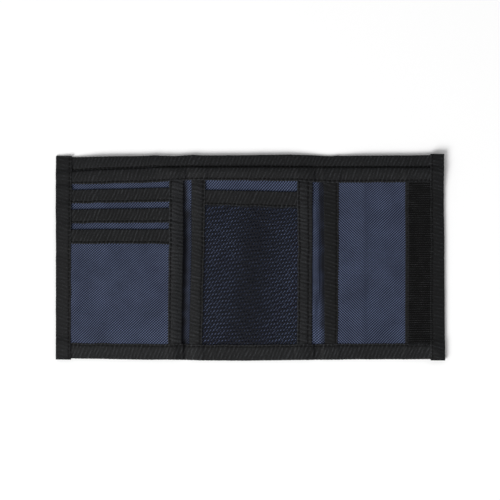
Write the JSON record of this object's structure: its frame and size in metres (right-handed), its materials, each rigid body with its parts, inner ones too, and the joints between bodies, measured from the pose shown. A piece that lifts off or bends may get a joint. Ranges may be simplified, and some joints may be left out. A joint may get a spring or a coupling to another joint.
{
  "type": "trifold wallet",
  "caption": "Open woven-cloth trifold wallet: bill compartment, card slots, mesh pocket, slip pockets, bound edges, hook-and-loop closure and two folds.",
  "frame": {"origin": "middle of the open wallet's outline, on the surface that it lies on", "axes": "+X runs across the three panels from the card panel to the panel with the hook strip, +Y towards the bill compartment's open mouth, +Z out of the inside face"},
  "size_m": [0.2484, 0.1312, 0.0055],
  "materials": {
    "navy_cloth": "woven synthetic twill, low sheen",
    "lining_cloth": "fine plain-woven lining",
    "binding_tape": "ribbed woven tape, matt",
    "mesh_net": "open knitted net",
    "hook_strip": "field of small moulded hooks on a woven base",
    "loop_strip": "brushed loop pile on a woven base",
    "sewing_thread": "twisted polyester thread"
  },
  "bodies": {
    "centre_panel": {"bottom_tape_centre": "binding_tape", "bottom_thread_centre": "sewing_thread", "centre_backing_panel": "navy_cloth", "centre_left_tape": "binding_tape", "centre_left_thread": "sewing_thread", "centre_right_tape": "binding_tape", "centre_right_thread": "sewing_thread", "inner_lining_centre": "lining_cloth", "lining_tape_centre": "binding_tape", "lining_thread_centre": "sewing_thread", "mesh_pocket_net": "mesh_net", "mesh_pocket_tape": "binding_tape", "mesh_pocket_thread": "sewing_thread", "mouth_tape_centre": "binding_tape", "mouth_thread_centre": "sewing_thread", "outer_shell_centre": "navy_cloth"},
    "left_panel": {"bottom_tape_left": "binding_tape", "bottom_thread_left": "sewing_thread", "card_backing_panel": "navy_cloth", "card_panel_side_tape": "binding_tape", "card_panel_side_thread": "sewing_thread", "card_slot_front": "navy_cloth", "card_slot_front_tape": "binding_tape", "card_slot_front_thread": "sewing_thread", "card_slot_middle": "navy_cloth", "card_slot_middle_tape": "binding_tape", "card_slot_middle_thread": "sewing_thread", "card_slot_rear": "navy_cloth", "card_slot_rear_tape": "binding_tape", "card_slot_rear_thread": "sewing_thread", "inner_lining_left": "lining_cloth", "left_edge_tape": "binding_tape", "left_edge_thread": "sewing_thread", "lining_tape_left": "binding_tape", "lining_thread_left": "sewing_thread", "loop_strip": "loop_strip", "loop_strip_thread": "sewing_thread", "mouth_tape_left": "binding_tape", "mouth_thread_left": "sewing_thread", "outer_shell_left": "navy_cloth"},
    "right_panel": {"bottom_tape_right": "binding_tape", "bottom_thread_right": "sewing_thread", "hook_strip": "hook_strip", "hook_strip_thread": "sewing_thread", "inner_lining_right": "lining_cloth", "lining_tape_right": "binding_tape", "lining_thread_right": "sewing_thread", "mouth_tape_right": "binding_tape", "mouth_thread_right": "sewing_thread", "outer_shell_right": "navy_cloth", "right_edge_tape": "binding_tape", "right_edge_thread": "sewing_thread", "right_pocket_panel": "navy_cloth", "right_pocket_side_tape": "binding_tape", "right_pocket_side_thread": "sewing_thread"}
  },
  "joints": [
    {"name": "left_fold", "type": "hinge", "parent": "centre_panel", "child": "left_panel", "pos_m": [-0.0405, 0, 0.0057], "axis": [0, 1, 0], "range_deg": [0, 180]},
    {"name": "right_fold", "type": "hinge", "parent": "centre_panel", "child": "right_panel", "pos_m": [0.0434, 0, 0.00762], "axis": [0, -1, 0], "range_deg": [0, 180]}
  ]
}
